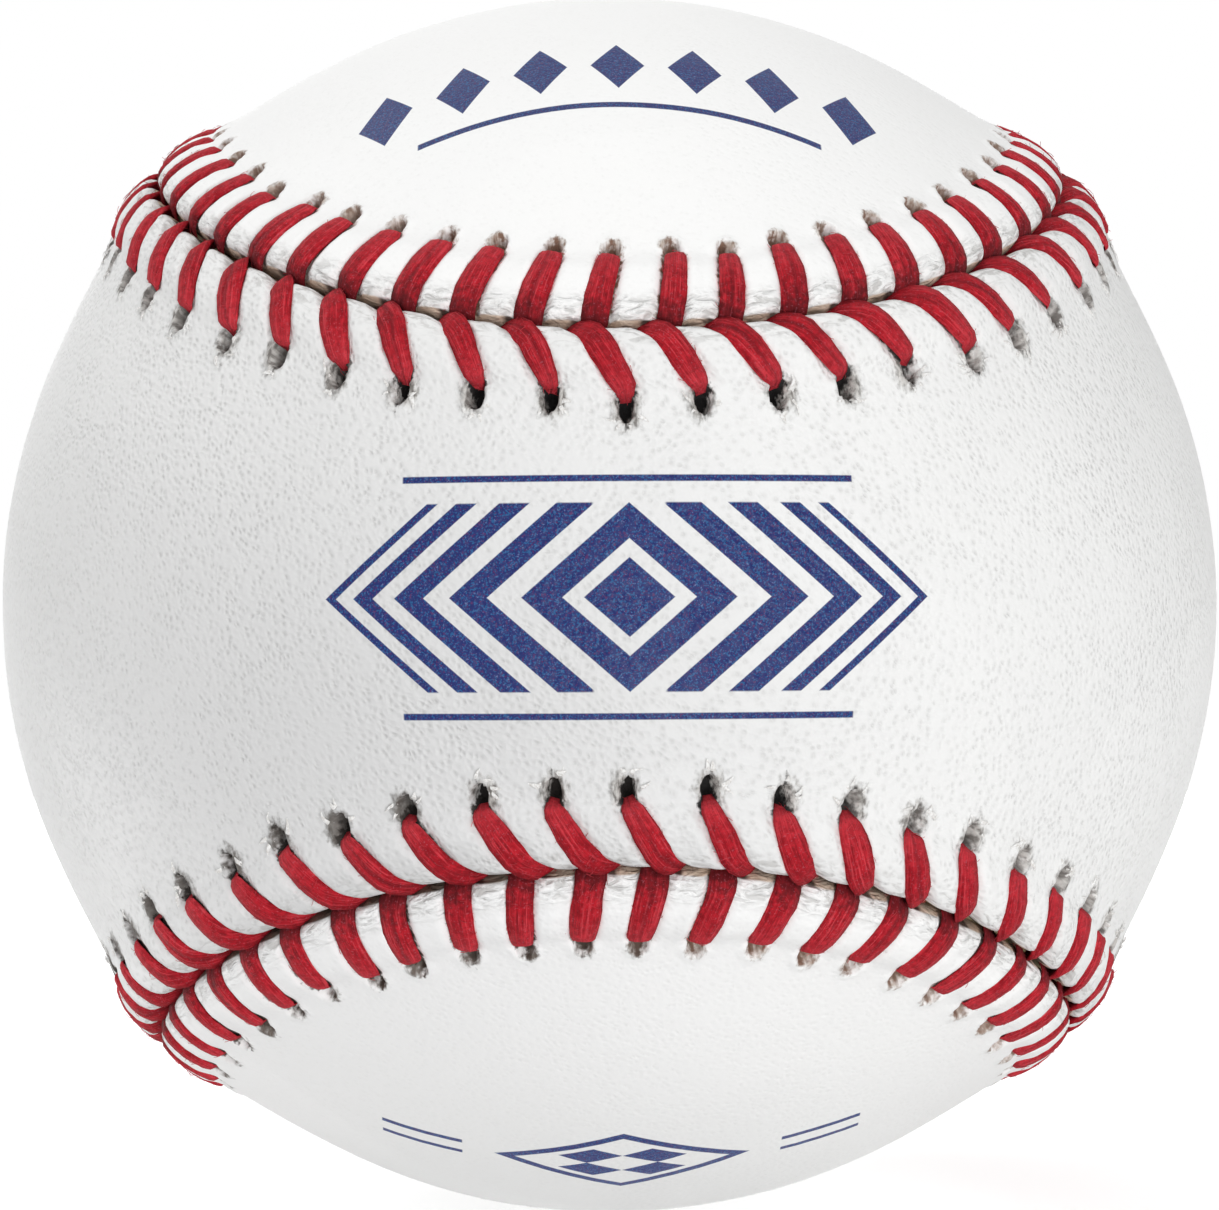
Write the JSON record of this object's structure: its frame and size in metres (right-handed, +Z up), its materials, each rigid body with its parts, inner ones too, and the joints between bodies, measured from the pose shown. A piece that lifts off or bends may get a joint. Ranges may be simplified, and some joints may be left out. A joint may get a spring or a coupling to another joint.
{
  "type": "baseball",
  "caption": "Hand-stitched leather ball with raised red seam, wound yarn body and cushioned cork core.",
  "frame": {"origin": "centre of the ball", "axes": "+Y is the seam's two-fold axis: the front panel's waist faces -Y and the back panel's waist faces +Y; +Z points up through the middle of one wide end of the back panel, +X through the middle of one wide end of the front panel"},
  "size_m": [0.0738, 0.0738, 0.0738],
  "materials": {
    "cork": "matt pressed cork grains bound with rubber",
    "black_rubber": "matt moulded rubber",
    "red_rubber": "matt moulded rubber",
    "grey_wool": "wound four-ply wool yarn",
    "white_wool": "wound three-ply wool yarn",
    "dark_wool": "wound three-ply wool yarn",
    "cotton_yarn": "fine wound cotton and polyester yarn",
    "latex": "thin tacky coat, dried",
    "leather": "alum-tanned white hide, fine pores, soft semi-matt",
    "red_thread": "waxed cotton thread, flattened, slight sheen"
  },
  "bodies": {
    "root": {"cork_core": "cork", "black_rubber_lower_half": "black_rubber", "black_rubber_upper_half": "black_rubber", "rubber_gasket": "red_rubber", "red_rubber_capsule": "red_rubber", "first_wool_winding": "grey_wool", "second_wool_winding": "white_wool", "third_wool_winding": "dark_wool", "finishing_winding": "cotton_yarn", "latex_coat": "latex", "cover_panel_front": "leather", "cover_panel_back": "leather", "seam_thread_front": "red_thread", "seam_thread_back": "red_thread"}
  },
  "joints": []
}
